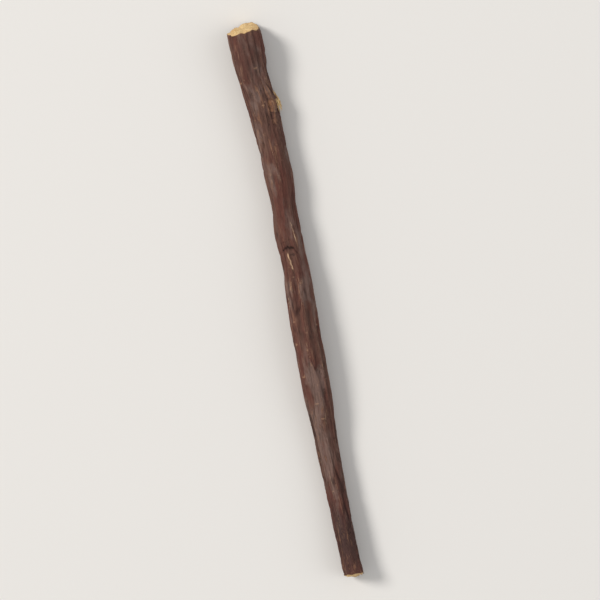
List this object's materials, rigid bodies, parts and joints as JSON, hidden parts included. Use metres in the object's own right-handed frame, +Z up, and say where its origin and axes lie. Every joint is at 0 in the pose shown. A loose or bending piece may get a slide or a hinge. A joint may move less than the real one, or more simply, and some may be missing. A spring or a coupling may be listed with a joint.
{
  "type": "licorice root",
  "caption": "Cut length of dried licorice root with furrowed brown bark, an old joint scar, a splintered knuckle and pale yellow cut ends.",
  "frame": {"origin": "on the surface that the root lies on, under the middle of its bounding box", "axes": "+Y along the root towards its thick cut end, +X to the right as seen from above, where the splintered knuckle is, +Z up"},
  "size_m": [0.011, 0.1526, 0.0094],
  "materials": {
    "bark": "dull, finely wrinkled red-brown bark with paler worn ridges",
    "wood": "dry, fibrous pale yellow wood where the root is cut, nicked or splintered"
  },
  "bodies": {
    "root": {"licorice_root": "bark"}
  },
  "joints": []
}
